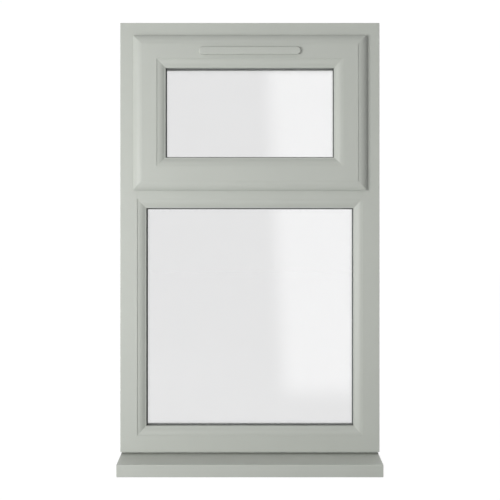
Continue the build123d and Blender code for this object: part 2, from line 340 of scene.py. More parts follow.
frame_lip = frame_flat + moulding_width
frame_outline = rounded_outline(
    [
        (0, 0, frame_arris),
        *moulding(frame_flat, frame_lip),
        (frame_lip - rebate_height, frame_depth, frame_arris),
        (0, frame_depth, frame_arris),
        *groove(frame_depth - groove_inset),
        *groove(groove_inset),
    ]
)

frame_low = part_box("frame_left_jamb")[0]
frame_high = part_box("frame_right_jamb")[1]
transom_low, transom_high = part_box("transom")
transom_middle = (transom_low.z + transom_high.z) / 2
transom_flat_half = (transom_high.z - transom_low.z) / 2 - moulding_width
transom_tip = frame_high.x - frame_flat


def prism(corners, front, back):
    """Closed prism of (across, up) corners between two depths."""
    shape = bmesh.new()
    near = [shape.verts.new((across, front, up)) for across, up in corners]
    far = [shape.verts.new((across, back, up)) for across, up in corners]
    close_between(shape, near, far)
    return shape


def transom_notch(side):
    """Pointed shape of the transom's end, which a jamb's moulding is notched for."""
    reach = moulding_width + cut_overshoot
    corners = (
        (side * transom_tip, transom_middle + transom_flat_half),
        (side * transom_tip, transom_middle - transom_flat_half),
        (side * (transom_tip - reach), transom_middle - transom_flat_half - reach),
        (side * (transom_tip - reach), transom_middle + transom_flat_half + reach),
    )
    return prism(corners, -cut_overshoot, flange_back)


def cut_out(shape, cutter):
    """Shape without the volume of the cutter."""
    pair = []
    for name, source in (("uncut", shape), ("cutter", cutter)):
        bmesh.ops.recalc_face_normals(source, faces=source.faces)
        mesh = bpy.data.meshes.new(name)
        source.to_mesh(mesh)
        source.free()
        part = bpy.data.objects.new(name, mesh)
        bpy.context.scene.collection.objects.link(part)
        pair.append(part)
    body, tool = pair
    cut = body.modifiers.new("cut", "BOOLEAN")
    cut.operation = "DIFFERENCE"
    cut.solver = "EXACT"
    cut.object = tool
    evaluated = body.evaluated_get(bpy.context.evaluated_depsgraph_get())
    result = bpy.data.meshes.new_from_object(evaluated)
    left = bmesh.new()
    left.from_mesh(result)
    bpy.data.meshes.remove(result)
    for part in pair:
        mesh = part.data
        bpy.data.objects.remove(part)
        bpy.data.meshes.remove(mesh)
    return left


frame_bars = {
    "left": ("left_jamb_profile", "frame_left_jamb"),
    "top": ("head_profile", "frame_head"),
    "right": ("right_jamb_profile", "frame_right_jamb"),
    "bottom": ("bottom_rail_profile", "frame_bottom_rail"),
}
for side, place in sides_of(frame_low.x, frame_high.x, frame_low.z, frame_high.z, frame_low.y).items():
    bar = mitred_bar(frame_outline, *place)
    if side == "left":
        bar = cut_out(bar, transom_notch(-1))
    if side == "right":
        bar = cut_out(bar, transom_notch(1))
    bar_name, bar_node = frame_bars[side]
    finished(bar_name, bar, foil, "upvc", bar_node)


# Transom: the same foiled PVC, one bar between the two lights. Its moulded front has pointed
# ends, which are welded into notches in the jambs, and its web behind ends square on the jambs.
web_half = transom_flat_half + moulding_width - rebate_height
web_end = frame_high.x - frame_lip + rebate_height

upper_half = [
    *moulding(transom_flat_half, transom_flat_half + moulding_width),
    (web_half, frame_depth, frame_arris),
]
lower_half = [(-across, depth, radius) for across, depth, radius in reversed(upper_half)]
transom_outline = rounded_outline([*upper_half, *lower_half])


def straight_bar(outline, start, end):
    """Closed bar along X of an outline given as (depth, height)."""
    shape = bmesh.new()
    near = [shape.verts.new((start, depth, height)) for depth, height in outline]
    far = [shape.verts.new((end, depth, height)) for depth, height in outline]
    close_between(shape, near, far)
    return shape


transom_section = [(depth, transom_middle + across) for across, depth in transom_outline]
transom = straight_bar(transom_section, -transom_tip, transom_tip)
for end in (-1, 1):
    for edge in (-1, 1):
        cut = bmesh.ops.bisect_plane(
            transom,
            geom=[*transom.verts, *transom.edges, *transom.faces],
            plane_co=(end * transom_tip, 0, transom_middle + edge * transom_flat_half),
            plane_no=(end, 0, edge),
            clear_outer=True,
        )
        rim = [part for part in cut["geom_cut"] if isinstance(part, bmesh.types.BMEdge)]
        bmesh.ops.holes_fill(transom, edges=rim)
    past_end = end * (transom_tip + cut_overshoot)
    past_edge = web_half + cut_overshoot
    web_trim = (
        (end * web_end, transom_middle - past_edge),
        (past_end, transom_middle - past_edge),
        (past_end, transom_middle + past_edge),
        (end * web_end, transom_middle + past_edge),
    )
    transom = cut_out(transom, prism(web_trim, flange_back, frame_depth + cut_overshoot))
finished("transom_profile", transom, foil, "upvc", "transom")


# Sash of the fanlight: four mitred and welded bars of the same foiled PVC, top hung. A flange
# with a large rounded edge laps over the frame, and a groove round its edge takes the lock.
sash_edge_moulding = 0.021
sash_edge_land = 0.0037
sash_flat = 0.0356
sash_moulding = 0.020
sash_depth = 0.070
sash_groove_line = 0.051
sash_groove_width = 0.016
sash_groove_depth = 0.003
seal_thickness = 0.003

sash_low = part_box("sash_left_stile")[0]
sash_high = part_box("sash_right_stile")[1]
sash_flange = -sash_low.y - seal_thickness
sash_flat_end = sash_edge_moulding + sash_flat
sash_lip = sash_flat_end + sash_moulding
sash_body_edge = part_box("lock_strip")[1].z - sash_groove_depth - sash_low.z
groove_front = sash_groove_line - sash_groove_width / 2
groove_rear = sash_groove_line + sash_groove_width / 2
edge_curve = tangent_arc(
    (sash_edge_moulding, step_drop), (-1, 0), (0, sash_flange - sash_edge_land), moulding_steps
)
sash_outline = rounded_outline(
    [
        (0, sash_flange, fine_arris),
        *sharp(reversed(edge_curve)),
        (sash_edge_moulding, 0, fine_arris),
        *moulding(sash_flat_end, sash_lip),
        (sash_lip - rebate_height, sash_depth, frame_arris),
        (sash_body_edge, sash_depth, frame_arris),
        (sash_body_edge, groove_rear, 0),
        (sash_body_edge + sash_groove_depth, groove_rear, 0),
        (sash_body_edge + sash_groove_depth, groove_front, 0),
        (sash_body_edge, groove_front, 0),
        (sash_body_edge, sash_flange, 0),
    ]
)
sash_bars = {
    "left": ("left_stile_profile", "sash_left_stile"),
    "top": ("sash_top_profile", "sash_top_rail"),
    "right": ("right_stile_profile", "sash_right_stile"),
    "bottom": ("sash_bottom_profile", "sash_bottom_rail"),
}
for side, place in sides_of(sash_low.x, sash_high.x, sash_low.z, sash_high.z, sash_low.y).items():
    bar_name, bar_node = sash_bars[side]
    finished(bar_name, mitred_bar(sash_outline, *place), foil, "upvc", bar_node)


# Weather seal: a soft grey rubber bulb round the back of the sash's flange, pushed into a
# groove, which the closed sash presses on the frame.
seal_width = 0.006
seal_round = 0.0011
rubber_grey = (0.085, 0.092, 0.087, 1)
rubber = grained_material(
    "grey_rubber", rubber_grey, roughness=0.66, spread=0.12, tone=0.2, grains=2600, emboss=0.4, dust=0.12
)


def ring(outline, low, high):
    """Closed ring of one outline round the rectangle between two corners, with mitred corners."""
    shape = bmesh.new()
    loops = []
    for across_sign, up_sign in ((1, 1), (1, -1), (-1, -1), (-1, 1)):
        corner_x = low.x if across_sign == 1 else high.x
        corner_z = low.z if up_sign == 1 else high.z
        loop = []
        for inset, depth in outline:
            place = (corner_x + across_sign * inset, low.y + depth, corner_z + up_sign * inset)
            loop.append(shape.verts.new(place))
        loops.append(loop)
    for corner, loop in enumerate(loops):
        before = loops[corner - 1]
        for index in range(len(outline)):
            shape.faces.new((before[index - 1], before[index], loop[index], loop[index - 1]))
    return shape


seal_low, seal_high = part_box("sash_weather_seal")
seal_outline = rounded_outline(
    [
        (0, 0, seal_round),
        (seal_width, 0, seal_round),
        (seal_width, seal_high.y - seal_low.y, seal_round),
        (0, seal_high.y - seal_low.y, seal_round),
    ]
)
seal = ring(seal_outline, seal_low, seal_high)
finished("weather_seal_bulb", seal, rubber, "gasket", "sash_weather_seal")


# Sealed units: two panes of float glass on a grey warm-edge spacer, closed round their edge. The
# spacer's inner face has a row of small holes to its drying agent, drawn as thin near-black discs
# that are painted shade of the holes, not cut holes. The units stand in the rebates between two
# rubber gaskets and are held by snap-in beads indoors.
glass_tint = (0.87, 0.87, 0.872, 1)
shadow_tint = (0.86, 0.88, 0.87, 1)
pane_arris = 0.0006
chamfer_steps = 2
chamfer_round = 0.5
gasket_width = 0.009
gasket_lip = 0.0015
gasket_nose = 0.0004
spacer_width = 0.010
spacer_round = 0.0008
spacer_grey = (0.2, 0.21, 0.2, 1)
hole_pitch = 0.005
hole_radius = 0.0006
hole_rim = 0.0002
hole_sides = 8
# Painted shade: the near-black of the discs that stand for the dark inside of the spacer's holes.
painted_hole_shade = (0.035, 0.036, 0.035, 1)
bead_nose = 0.001
bead_toe = 0.003
bead_arris = 0.0006

glass = bpy.data.materials.new("clear_float_glass")
glass.use_nodes = True
glass_nodes, glass_links = glass.node_tree.nodes, glass.node_tree.links
glass_shader = glass_nodes["Principled BSDF"]
glass_shader.inputs["Transmission Weight"].default_value = 1
glass_shader.inputs["IOR"].default_value = 1.5
glass_place = glass_nodes.new("ShaderNodeTexCoord")
glass_film = glass_nodes.new("ShaderNodeGroup")
glass_film.node_tree = fine_grain
glass_film.inputs["Colour"].default_value = glass_tint
glass_film.inputs["Tone Range"].default_value = 0.01
glass_film.inputs["Grains per Metre"].default_value = 400
glass_film.inputs["Roughness"].default_value = 0.004
glass_film.inputs["Roughness Range"].default_value = 0.006
glass_lamps = glass_nodes.new("ShaderNodeBsdfTransparent")
glass_lamps.inputs["Color"].default_value = shadow_tint
glass_path = glass_nodes.new("ShaderNodeLightPath")
glass_mix = glass_nodes.new("ShaderNodeMixShader")
glass_links.new(glass_place.outputs["Object"], glass_film.inputs["Position"])
glass_links.new(glass_film.outputs["Colour"], glass_shader.inputs["Base Color"])
glass_links.new(glass_film.outputs["Roughness"], glass_shader.inputs["Roughness"])
glass_links.new(glass_path.outputs["Is Shadow Ray"], glass_mix.inputs["Fac"])
glass_links.new(glass_shader.outputs["BSDF"], glass_mix.inputs[1])
glass_links.new(glass_lamps.outputs["BSDF"], glass_mix.inputs[2])
glass_links.new(glass_mix.outputs["Shader"], glass_nodes["Material Output"].inputs["Surface"])

spacer_finish = grained_material(
    "grey_spacer", spacer_grey, roughness=0.5, spread=0.1, tone=0.1, grains=1200, emboss=0.2, dust=0.0
)


def grind_off(shape, edges, size):
    """Small chamfer along some edges of a shape."""
    bmesh.ops.bevel(
        shape, geom=edges, offset=size, segments=chamfer_steps, profile=chamfer_round, affect="EDGES"
    )


def slab(low, high, edge):
    """Flat sheet between two corners with its edges ground off by a small chamfer."""
    shape = bmesh.new()
    bmesh.ops.create_cube(shape, size=1)
    size = high - low
    middle = (low + high) / 2
    for vertex in shape.verts:
        vertex.co = Vector((vertex.co.x * size.x, vertex.co.y * size.y, vertex.co.z * size.z)) + middle
    grind_off(shape, shape.edges[:], edge)
    return shape


def gasket_outline(thickness, glass_behind):
    """Gasket with a soft lip that widens towards the glass."""
    glass_side, free_side = (thickness, 0) if glass_behind else (0, thickness)
    return rounded_outline(
        [
            (0, free_side, 0),
            (gasket_width - gasket_lip, free_side, gasket_nose),
            (gasket_width, glass_side, gasket_nose / 2),
            (0, glass_side, 0),
        ]
    )


def bead_outline(depth):
    """Bead: flat on the rebate's floor, with a rounded face towards the room."""
    curve = tangent_arc((rebate_height, bead_nose), (0, 1), (bead_toe, depth), moulding_steps)
    return rounded_outline([(0, depth, 0), (0, 0, 0), (rebate_height, 0, bead_arris), *sharp(curve)])


def tree_of(name, inputs):
    """Empty Geometry Nodes tree with named inputs, and its input and output nodes."""
    tree = bpy.data.node_groups.new(name, "GeometryNodeTree")
    for socket, kind in inputs:
        tree.interface.new_socket(socket, in_out="INPUT", socket_type=kind)
    tree.interface.new_socket("Geometry", in_out="OUTPUT", socket_type="NodeSocketGeometry")
    return tree, tree.nodes.new("NodeGroupInput"), tree.nodes.new("NodeGroupOutput")


def painted_hole_row_tree():
    """Row of thin dark discs that follows a rectangle, each one square to its side: painted shade where the
    holes are, not cut holes.
    """
    tree, taken, given = tree_of(
        "row_of_painted_hole_discs",
        (
            ("Width", "NodeSocketFloat"),
            ("Height", "NodeSocketFloat"),
            ("Centre", "NodeSocketVector"),
            ("Pitch", "NodeSocketFloat"),
            ("Radius", "NodeSocketFloat"),
            ("Rim", "NodeSocketFloat"),
            ("Sides", "NodeSocketInt"),
            ("Material", "NodeSocketMaterial"),
        ),
    )
    nodes, links = tree.nodes, tree.links
    path = nodes.new("GeometryNodeCurvePrimitiveQuadrilateral")
    places = nodes.new("GeometryNodeCurveToPoints")
    places.mode = "LENGTH"
    facing = nodes.new("FunctionNodeAlignRotationToVector")
    facing.axis = "Z"
    hole = nodes.new("GeometryNodeMeshCylinder")
    placed = nodes.new("GeometryNodeInstanceOnPoints")
    upright = nodes.new("GeometryNodeTransform")
    upright.inputs["Rotation"].default_value = (math.pi / 2, 0, 0)
    whole = nodes.new("GeometryNodeRealizeInstances")
    painted = nodes.new("GeometryNodeSetMaterial")
    links.new(taken.outputs["Width"], path.inputs["Width"])
    links.new(taken.outputs["Height"], path.inputs["Height"])
    links.new(path.outputs["Curve"], places.inputs["Curve"])
    links.new(taken.outputs["Pitch"], places.inputs["Length"])
    links.new(places.outputs["Normal"], facing.inputs["Vector"])
    links.new(taken.outputs["Sides"], hole.inputs["Vertices"])
    links.new(taken.outputs["Radius"], hole.inputs["Radius"])
    links.new(taken.outputs["Rim"], hole.inputs["Depth"])
    links.new(places.outputs["Points"], placed.inputs["Points"])
    links.new(hole.outputs["Mesh"], placed.inputs["Instance"])
    links.new(facing.outputs["Rotation"], placed.inputs["Rotation"])
    links.new(placed.outputs["Instances"], upright.inputs["Geometry"])
    links.new(taken.outputs["Centre"], upright.inputs["Translation"])
    links.new(upright.outputs["Geometry"], whole.inputs["Geometry"])
    links.new(whole.outputs["Geometry"], painted.inputs["Geometry"])
    links.new(taken.outputs["Material"], painted.inputs["Material"])
    links.new(painted.outputs["Geometry"], given.inputs["Geometry"])
    return tree


def grown(tree, values):
    """Plain shape that a Geometry Nodes tree makes from the values of its named inputs."""
    mesh = bpy.data.meshes.new(tree.name)
    maker = bpy.data.objects.new(tree.name, mesh)
    bpy.context.scene.collection.objects.link(maker)
    modifier = maker.modifiers.new(tree.name, "NODES")
    modifier.node_group = tree
    for socket in tree.interface.items_tree:
        if socket.in_out == "INPUT":
            modifier[socket.identifier] = values[socket.name]
    evaluated = maker.evaluated_get(bpy.context.evaluated_depsgraph_get())
    result = bpy.data.meshes.new_from_object(evaluated)
    maker.modifiers.remove(modifier)
    shape = bmesh.new()
    shape.from_mesh(result)
    bpy.data.meshes.remove(result)
    bpy.data.objects.remove(maker)
    bpy.data.meshes.remove(mesh)
    return shape


painted_hole_row = painted_hole_row_tree()
# Material of the dark discs: painted shade of the spacer's holes, which are not cut.
painted_hole_finish = grained_material(
    "spacer_painted_hole_shade", painted_hole_shade, roughness=0.7, spread=0.1, tone=0.1, grains=3000, emboss=0.2, dust=0.0
)

for light in ("fixed_light", "sash"):
    for layer in ("outer", "inner"):
        pane_node = f"{light}_{layer}_pane"
        finished(f"{light}_{layer}_glass", slab(*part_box(pane_node), pane_arris), glass, "glass", pane_node)
        gasket_node = f"{light}_{layer}_gasket"
        gasket_low, gasket_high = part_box(gasket_node)
        lip = gasket_outline(gasket_high.y - gasket_low.y, layer == "outer")
        gasket = ring(lip, gasket_low, gasket_high)
        finished(f"{light}_{layer}_rubber", gasket, rubber, "gasket", gasket_node)

    spacer_node = f"{light}_spacer_bar"
    spacer_low, spacer_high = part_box(spacer_node)
    spacer_depth = spacer_high.y - spacer_low.y
    spacer_outline = rounded_outline(
        [
            (0, 0, 0),
            (spacer_width, 0, spacer_round),
            (spacer_width, spacer_depth, spacer_round),
            (0, spacer_depth, 0),
        ]
    )
    spacer = ring(spacer_outline, spacer_low, spacer_high)
    finished(f"{light}_warm_edge", spacer, spacer_finish, "spacer", spacer_node)

    # Thin dark discs on the spacer's inner face: painted shade standing in for its holes.
    painted_discs = grown(
        painted_hole_row,
        {
            "Width": spacer_high.x - spacer_low.x - 2 * spacer_width,
            "Height": spacer_high.z - spacer_low.z - 2 * spacer_width,
            "Centre": (spacer_low + spacer_high) / 2,
            "Pitch": hole_pitch,
            "Radius": hole_radius,
            "Rim": hole_rim,
            "Sides": hole_sides,
            "Material": painted_hole_finish,
        },
    )
    finished(f"{light}_spacer_painted_hole_discs", painted_discs, painted_hole_finish, "spacer")

    bead_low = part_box(f"{light}_left_bead")[0]
    bead_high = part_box(f"{light}_right_bead")[1]
    outline = bead_outline(bead_high.y - bead_low.y)
    for side, place in sides_of(bead_low.x, bead_high.x, bead_low.z, bead_high.z, bead_low.y).items():
        bead = mitred_bar(outline, *place)
        finished(f"{light}_{side}_snap_bead", bead, foil, "upvc", f"{light}_{side}_bead")


# Sill: one extrusion of the same foiled PVC with a sloping top, an upright nose and a drip
# groove below. A thin moulded cap is glued over each open end.
sill_nose_height = 0.0285
sill_seat_inset = 0.014
sill_seat_step = 0.004
sill_nose_radius = 0.002
drip_inset = 0.010
drip_width = 0.006
drip_depth = 0.004
cap_arris = 0.0006
same_place = 1e-6

sill_low, sill_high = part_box("sill")
drip_front = sill_low.y + drip_inset
sill_outline = rounded_outline(
    [
        (sill_low.y, 0, sill_nose_radius),
        (sill_low.y, sill_nose_height, sill_nose_radius),
        (sill_seat_inset, sill_high.z - sill_seat_step, 0),
        (sill_seat_inset, sill_high.z, 0),
        (sill_high.y, sill_high.z, 0),
        (sill_high.y, 0, 0),
        (drip_front + drip_width, 0, 0),
        (drip_front + drip_width, drip_depth, 0),
        (drip_front, drip_depth, 0),
        (drip_front, 0, 0),
    ]
)
finished("sill_profile", straight_bar(sill_outline, sill_low.x, sill_high.x), foil, "upvc", "sill")
for cap_side in ("left", "right"):
    cap_low, cap_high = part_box(f"sill_{cap_side}_end_cap")
    cap = straight_bar(sill_outline, cap_low.x, cap_high.x)
    outer_x = cap_low.x if cap_side == "left" else cap_high.x
    rim = [edge for edge in cap.edges if all(abs(end.co.x - outer_x) < same_place for end in edge.verts)]
    grind_off(cap, rim, cap_arris)
    finished(f"sill_{cap_side}_cap", cap, foil, "upvc", f"sill_{cap_side}_end_cap")


# Trickle vent: a slim moulded canopy, open below, clipped over slots in the sash's top rail, and
# indoors a moulded cover with a row of upright ribs on each side of a small shutter, which slides
# along the cover and has finer ribs to grip it by.
canopy_edge = 0.0025
canopy_wall = 0.003
canopy_slot_setback = 0.016
canopy_slot_depth = 0.006
cover_edge = 0.003
shutter_edge = 0.0015
round_steps = 20
edge_steps = 6
cover_rib_height = 0.013
cover_rib_radius = 0.0012
cover_rib_proud = 0.0007
cover_rib_pitch = 0.004
cover_rib_count = 22
cover_rib_gap = 0.008
grip_rib_height = 0.0054
grip_rib_radius = 0.0007
grip_rib_proud = 0.0004
grip_rib_pitch = 0.003
grip_rib_count = 9
rib_segments = 12
rib_rings = 8
rib_waist = 0.1


def capsule(first, first_radius, second, second_radius):
    """Outline round two circles on one level, as (across, up) points."""
    span = second - first
    tilt = math.acos((first_radius - second_radius) / span)
    points = []
    for centre, radius, start, sweep in (
        (first, first_radius, tilt, 2 * math.pi - 2 * tilt),
        (second, second_radius, -tilt, 2 * tilt),
    ):
        for step in range(round_steps + 1):
            angle = start + sweep * step / round_steps
            points.append((centre + radius * math.cos(angle), radius * math.sin(angle)))
    return points


def rounded_capsule(first, second, level, back, front, front_edge, back_edge=0.0):
    """Closed body round two (across, radius) circles, with rounded edges at its two faces."""
    toward = 1 if front > back else -1
    layers = []
    for depth, edge, way in ((back, back_edge, toward), (front, front_edge, -toward)):
        turns = [math.pi / 2 * step / edge_steps for step in range(edge_steps + 1)]
        rows = [(edge * (1 - math.sin(turn)), depth + way * edge * (1 - math.cos(turn))) for turn in turns]
        if edge == 0:
            rows = [(0, depth)]
        layers += rows if depth == back else list(reversed(rows))
    shape = bmesh.new()
    loops = []
    for inset, depth in layers:
        outline = capsule(first[0], first[1] - inset, second[0], second[1] - inset)
        loops.append([shape.verts.new((across, depth, level + up)) for across, up in outline])
    for lower, upper in zip(loops, loops[1:]):
        for index in range(len(lower)):
            shape.faces.new((lower[index - 1], lower[index], upper[index], upper[index - 1]))
    shape.faces.new(loops[0])
    shape.faces.new(loops[-1])
    return shape


def pill(node, back, front, front_edge):
    """Body with fully rounded ends that fills the node's box across and up."""
    low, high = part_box(node)
    radius = (high.z - low.z) / 2
    ends = ((low.x + radius, radius), (high.x - radius, radius))
    return rounded_capsule(*ends, (low.z + high.z) / 2, back, front, front_edge)


canopy_low, canopy_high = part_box("vent_canopy")
slot_corners = (
    (canopy_low.x + canopy_slot_setback, canopy_low.z - cut_overshoot),
    (canopy_high.x - canopy_slot_setback, canopy_low.z - cut_overshoot),
    (canopy_high.x - canopy_slot_setback, canopy_low.z + canopy_slot_depth),
    (canopy_low.x + canopy_slot_setback, canopy_low.z + canopy_slot_depth),
)
canopy_slot = prism(slot_corners, canopy_low.y + canopy_wall, canopy_high.y + cut_overshoot)
canopy = cut_out(pill("vent_canopy", canopy_high.y, canopy_low.y, canopy_edge), canopy_slot)
finished("vent_canopy_shell", canopy, foil, "upvc", "vent_canopy")
cover_low, cover_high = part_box("vent_cover")
cover = pill("vent_cover", cover_low.y, cover_high.y, cover_edge)
finished("vent_cover_shell", cover, foil, "upvc", "vent_cover")
shutter_low, shutter_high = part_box("vent_slider")
shutter = pill("vent_slider", shutter_low.y, shutter_high.y, shutter_edge)
finished("vent_shutter_grip", shutter, foil, "upvc", "vent_slider")


def rib_row_tree():
    """Even row of upright ribs, each one a ball whose two halves are pulled apart to a rod.

    The rod's straight part is its height less two radii, and each half moves by half of it.
    """
    tree, taken, given = tree_of(
        "row_of_ribs",
        (
            ("First", "NodeSocketVector"),
            ("Step", "NodeSocketVector"),
            ("Count", "NodeSocketInt"),
            ("Height", "NodeSocketFloat"),
            ("Radius", "NodeSocketFloat"),
            ("Segments", "NodeSocketInt"),
            ("Rings", "NodeSocketInt"),
            ("Material", "NodeSocketMaterial"),
        ),
    )
    nodes, links = tree.nodes, tree.links
    places = nodes.new("GeometryNodeMeshLine")
    ball = nodes.new("GeometryNodeMeshUVSphere")
    point = nodes.new("GeometryNodeInputPosition")
    axes = nodes.new("ShaderNodeSeparateXYZ")
    side = nodes.new("ShaderNodeMath")
    side.operation = "DIVIDE"
    half = nodes.new("ShaderNodeMapRange")
    half.inputs["From Min"].default_value = -rib_waist
    half.inputs["From Max"].default_value = rib_waist
    half.inputs["To Min"].default_value = -0.5
    half.inputs["To Max"].default_value = 0.5
    straight = nodes.new("ShaderNodeMath")
    straight.operation = "MULTIPLY_ADD"
    straight.inputs[1].default_value = -2
    pull = nodes.new("ShaderNodeMath")
    pull.operation = "MULTIPLY"
    lift = nodes.new("ShaderNodeCombineXYZ")
    rib = nodes.new("GeometryNodeSetPosition")
    placed = nodes.new("GeometryNodeInstanceOnPoints")
    whole = nodes.new("GeometryNodeRealizeInstances")
    painted = nodes.new("GeometryNodeSetMaterial")
    links.new(taken.outputs["Count"], places.inputs["Count"])
    links.new(taken.outputs["First"], places.inputs["Start Location"])
    links.new(taken.outputs["Step"], places.inputs["Offset"])
    links.new(taken.outputs["Segments"], ball.inputs["Segments"])
    links.new(taken.outputs["Rings"], ball.inputs["Rings"])
    links.new(taken.outputs["Radius"], ball.inputs["Radius"])
    links.new(point.outputs["Position"], axes.inputs[0])
    links.new(axes.outputs["Z"], side.inputs[0])
    links.new(taken.outputs["Radius"], side.inputs[1])
    links.new(side.outputs[0], half.inputs["Value"])
    links.new(taken.outputs["Radius"], straight.inputs[0])
    links.new(taken.outputs["Height"], straight.inputs[2])
    links.new(half.outputs["Result"], pull.inputs[0])
    links.new(straight.outputs[0], pull.inputs[1])
    links.new(pull.outputs[0], lift.inputs["Z"])
    links.new(ball.outputs["Mesh"], rib.inputs["Geometry"])
    links.new(lift.outputs[0], rib.inputs["Offset"])
    links.new(places.outputs["Mesh"], placed.inputs["Points"])
    links.new(rib.outputs["Geometry"], placed.inputs["Instance"])
    links.new(placed.outputs["Instances"], whole.inputs["Geometry"])
    links.new(whole.outputs["Geometry"], painted.inputs["Geometry"])
    links.new(taken.outputs["Material"], painted.inputs["Material"])
    links.new(painted.outputs["Geometry"], given.inputs["Geometry"])
    return tree


rib_row = rib_row_tree()
vent_level = (cover_low.z + cover_high.z) / 2


def ribs(first, step, count, height, radius):
    """Row of ribs of the vent's own plastic from a first middle along a step across."""
    return grown(
        rib_row,
        {
            "First": first,
            "Step": ACROSS * step,
            "Count": count,
            "Height": height,
            "Radius": radius,
            "Segments": rib_segments,
            "Rings": rib_rings,
            "Material": foil,
        },
    )


for rib_side, way, edge in (("left", -1, shutter_low.x), ("right", 1, shutter_high.x)):
    rib_depth = cover_high.y + cover_rib_proud - cover_rib_radius
    rib_place = Vector((edge + way * cover_rib_gap, rib_depth, vent_level))
    cover_ribs = ribs(rib_place, way * cover_rib_pitch, cover_rib_count, cover_rib_height, cover_rib_radius)
    finished(f"vent_cover_{rib_side}_ribs", cover_ribs, foil, "upvc")
grip_start = (shutter_low.x + shutter_high.x - (grip_rib_count - 1) * grip_rib_pitch) / 2
grip_place = Vector((grip_start, shutter_high.y + grip_rib_proud - grip_rib_radius, vent_level))
grip_ribs = ribs(grip_place, grip_rib_pitch, grip_rib_count, grip_rib_height, grip_rib_radius)
finished("vent_shutter_grip_ribs", grip_ribs, foil, "upvc")


# Lever handle: cast metal with a satin finish. Its base is screwed to the sash's bottom rail
# from behind, and the lever turns on a round neck.
satin_grey = (0.62, 0.62, 0.61, 1)
lever_root_radius = 0.011
lever_tip_radius = 0.0075
lever_front_edge = 0.005
lever_back_edge = 0.0025
base_edge = 0.003
base_thickness = 0.010
neck_radius = 0.0085
neck_sides = 32

satin_metal = grained_material(
    "satin_metal",
    satin_grey,
    roughness=0.36,
    spread=0.08,
    tone=0.05,
    grains=2200,
    emboss=0.12,
    dust=0.05,
    metal=1.0,
)
base_low, base_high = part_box("handle_base")
base_radius = (base_high.z - base_low.z) / 2
handle_level = (base_low.z + base_high.z) / 2
handle_base = rounded_capsule(
    (base_low.x + base_radius, base_radius),
    (base_high.x - base_radius, base_radius),
    handle_level,
    base_low.y,
    base_low.y + base_thickness,
    base_edge,
)
neck_loops = []
for depth in (base_low.y + base_thickness, base_high.y):
    loop = []
    for step in range(neck_sides):
        angle = 2 * math.pi * step / neck_sides
        level = handle_level + neck_radius * math.sin(angle)
        loop.append(handle_base.verts.new((neck_radius * math.cos(angle), depth, level)))
    neck_loops.append(loop)
close_between(handle_base, *neck_loops)
finished("handle_base_plate", handle_base, satin_metal, "handle_metal", "handle_base")

lever_low, lever_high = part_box("handle_lever")
lever = rounded_capsule(
    (lever_low.x + lever_tip_radius, lever_tip_radius),
    (lever_high.x - lever_root_radius, lever_root_radius),
    handle_level,
    lever_low.y,
    lever_high.y,
    lever_front_edge,
    lever_back_edge,
)
finished("handle_lever_grip", lever, satin_metal, "handle_metal", "handle_lever")


# Friction stays and lock: pressed stainless steel, screwed to the rebate and to the sash's edge
# in the narrow gap between them.
steel_grey = (0.55, 0.56, 0.56, 1)
steel_nodes = (
    "friction_stay_left",
    "friction_stay_right",
    "lock_strip",
    "lock_keep_left",
    "lock_keep_right",
)
plain_steel = grained_material(
    "plain_steel",
    steel_grey,
    roughness=0.34,
    spread=0.1,
    tone=0.06,
    grains=1500,
    emboss=0.1,
    dust=0.05,
    metal=1.0,
)
for node in steel_nodes:
    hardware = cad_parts[node]
    hardware.data.materials.clear()
    hardware.data.materials.append(plain_steel)


# Stage: a plain pale floor, a white backdrop all round, soft light from the left in front, a
# panel on the right that shows in the glass, and a camera level with the middle of the window.
floor_size = 40
floor_share = 0.84
floor_glow = 1.14
floor_colour = (0.65, 0.65, 0.65, 1)
floor_roughness = 0.9
left_ambient = 0.46
right_ambient = 0.08
back_ambient = 0.85
back_fade = (-0.2, 0.6)
overhead_gain = (0.6, 2.0)
backdrop_glow = 1.016
key_place = Vector((-1.5, -1.95, 0.46))
key_target = Vector((0, 0, 0.46))
key_width = 1.3
key_height = 0.95
key_power = 41.5
panel_depth = -0.8
panel_edge = (0.07, 0.157)
panel_lean = 0.049
panel_foot = (0.0, 0.1)
panel_right = 3.0
panel_top = 2.4
panel_glow = 0.95
camera_place = (0.0003, -2.226, 0.5157)
camera_lens = 68.15
camera_sensor = 36


def shown_rays(nodes, links):
    """Output that is 1 for rays from the camera, and for what metal and glass show of them."""
    path = nodes.new("ShaderNodeLightPath")
    reached = path.outputs["Is Camera Ray"]
    for kind in ("Is Glossy Ray", "Is Transmission Ray"):
        either = nodes.new("ShaderNodeMath")
        either.operation = "MAXIMUM"
        links.new(reached, either.inputs[0])
        links.new(path.outputs[kind], either.inputs[1])
        reached = either.outputs[0]
    return reached


def stage_sheet(name, corners, material):
    """One flat sheet of the stage."""
    mesh = bpy.data.meshes.new(name)
    mesh.from_pydata(corners, [], [tuple(range(len(corners)))])
    mesh.materials.append(material)
    sheet = bpy.data.objects.new(name, mesh)
    bpy.context.scene.collection.objects.link(sheet)
    return sheet


